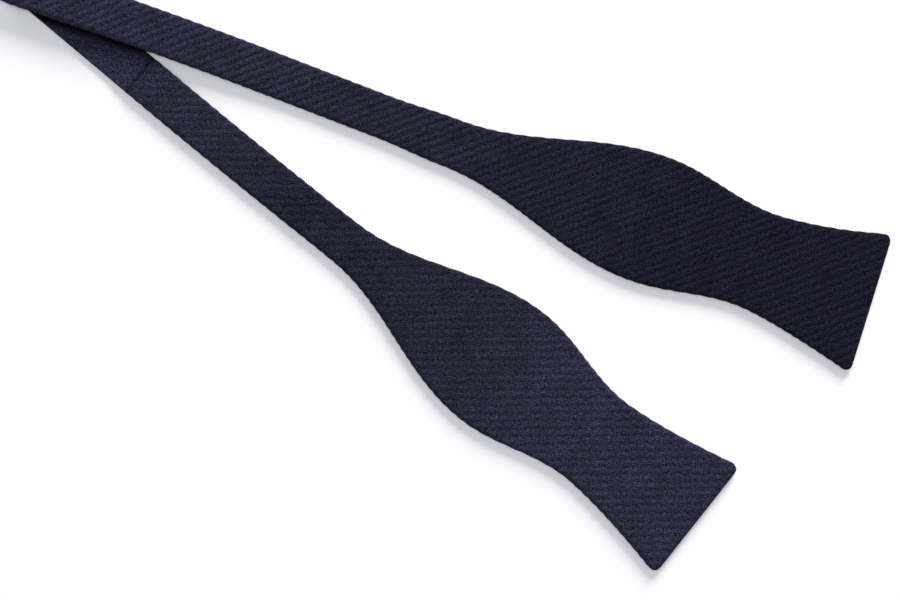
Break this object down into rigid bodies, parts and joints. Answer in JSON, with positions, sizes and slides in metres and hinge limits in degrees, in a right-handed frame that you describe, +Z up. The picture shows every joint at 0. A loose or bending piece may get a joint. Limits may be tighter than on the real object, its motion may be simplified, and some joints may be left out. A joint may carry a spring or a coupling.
{
  "type": "bow tie",
  "caption": "Untied self-tie bow tie laid out flat: flared blades on narrow bands that cross, with the neckband's loop closed by a hook, an eye and a slide adjuster.",
  "frame": {"origin": "middle of the laid-out tie's footprint, on the table", "axes": "+X across the table towards the blades, +Y across it towards the long end, +Z up out of the table"},
  "size_m": [0.4718, 0.3164, 0.0221],
  "materials": {
    "face_cloth": "matt ribbed wool, cut on the bias",
    "strap_cloth": "matt wool, pressed flat",
    "canvas": "natural interlining canvas",
    "thread": "navy sewing thread",
    "nickel": "satin nickel plate"
  },
  "bodies": {
    "short_end": {"short_end_front": "face_cloth", "short_end_back": "face_cloth", "short_end_interlining": "canvas", "strap_seam_thread": "thread", "strap_run": "strap_cloth"},
    "short_tip": {"short_tip_front": "face_cloth", "short_tip_back": "face_cloth", "short_tip_interlining": "canvas"},
    "hook": {"hook": "nickel", "strap_turn": "strap_cloth"},
    "slide": {"slide_adjuster": "nickel", "strap_return": "strap_cloth", "strap_bartack": "thread"},
    "long_end": {"long_end_front": "face_cloth", "long_end_back": "face_cloth", "long_end_interlining": "canvas", "neckband_front": "face_cloth", "neckband_back": "face_cloth", "neckband_interlining": "canvas", "neckband_seam_thread": "thread", "neckband_bartack": "thread", "eye": "nickel"},
    "long_tip": {"long_tip_front": "face_cloth", "long_tip_back": "face_cloth", "long_tip_interlining": "canvas"}
  },
  "joints": [
    {"name": "long_blade_fold", "type": "hinge", "parent": "long_end", "child": "long_tip", "pos_m": [0.13333, -0.00891, 0.0034], "axis": [-0.3584, -0.9336, 0], "range_deg": [0, 172]},
    {"name": "short_blade_fold", "type": "hinge", "parent": "short_end", "child": "short_tip", "pos_m": [0.07128, -0.07179, 0.0034], "axis": [-0.6198, -0.7848, 0], "range_deg": [0, 172]},
    {"name": "strap_take_up", "type": "slide", "parent": "short_end", "child": "hook", "axis": [0.766, -0.6428, 0], "range_m": [0, 0.007], "deforming": ["strap_run"]},
    {"name": "slide_travel", "type": "slide", "parent": "hook", "child": "slide", "axis": [0.766, -0.6428, 0], "range_m": [0, 0.007], "deforming": ["strap_return"]},
    {"name": "eye_unhook", "type": "slide", "parent": "hook", "child": "long_end", "axis": [0.766, -0.6428, 0], "range_m": [0, 0.0043]}
  ],
  "couplings": [
    {"joint": "slide_travel", "follows": "strap_take_up", "ratio": 1}
  ]
}
